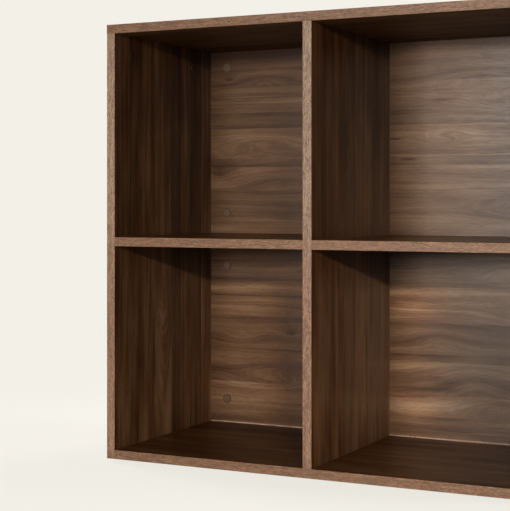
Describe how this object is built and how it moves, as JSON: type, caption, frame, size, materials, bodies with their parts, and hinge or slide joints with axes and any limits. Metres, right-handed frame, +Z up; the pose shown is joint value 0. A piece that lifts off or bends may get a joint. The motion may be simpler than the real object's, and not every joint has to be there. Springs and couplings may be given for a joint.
{
  "type": "cube storage unit",
  "caption": "Open cube storage unit in walnut-look board: two columns by two rows of square bays with back boards, paler edge strips and hidden cam fittings.",
  "frame": {"origin": "centre of the footprint, on the floor under the glides", "axes": "+Z up, -Y towards the open front, +X to the right as seen from the front"},
  "size_m": [0.731, 0.35, 0.726],
  "materials": {
    "walnut_melamine": "satin walnut-look melamine on chipboard, plank-matched grain",
    "edge_strip": "fine-grained matt edge strip, paler than the faces",
    "cover_cap": "matt brown moulded plastic",
    "zinc_casting": "die-cast zinc, dull",
    "plated_steel": "zinc-plated steel",
    "nylon": "natural nylon",
    "beech": "fluted beech, unfinished",
    "glide_plastic": "black moulded plastic"
  },
  "bodies": {
    "root": {"left_side": "walnut_melamine", "right_side": "walnut_melamine", "divider": "walnut_melamine", "top_panel": "walnut_melamine", "bottom_panel": "walnut_melamine", "left_shelf": "walnut_melamine", "right_shelf": "walnut_melamine", "upper_back": "walnut_melamine", "lower_back": "walnut_melamine", "left_side_band": "edge_strip", "right_side_band": "edge_strip", "divider_band": "edge_strip", "left_shelf_band": "edge_strip", "right_shelf_band": "edge_strip", "bottom_panel_band": "edge_strip", "top_panel_front_band": "edge_strip", "top_panel_left_band": "edge_strip", "top_panel_right_band": "edge_strip", "lower_back_foot_band": "edge_strip", "side_cams": "zinc_casting", "divider_cams": "zinc_casting", "bottom_panel_cams": "zinc_casting", "left_shelf_cams": "zinc_casting", "right_shelf_cams": "zinc_casting", "upper_back_cams": "zinc_casting", "lower_back_cams": "zinc_casting", "top_panel_bolts": "plated_steel", "bottom_panel_bolts": "plated_steel", "left_side_bolts": "plated_steel", "right_side_bolts": "plated_steel", "double_bolts": "plated_steel", "top_panel_nuts": "nylon", "bottom_panel_nuts": "nylon", "left_side_nuts": "nylon", "right_side_nuts": "nylon", "side_caps": "cover_cap", "divider_caps": "cover_cap", "left_shelf_caps": "cover_cap", "right_shelf_caps": "cover_cap", "upper_back_caps": "cover_cap", "lower_back_caps": "cover_cap", "top_dowels": "beech", "bottom_dowels": "beech", "shelf_dowels": "beech", "back_dowels": "beech", "back_screws": "plated_steel", "glides": "glide_plastic", "glide_nails": "plated_steel"}
  },
  "joints": []
}
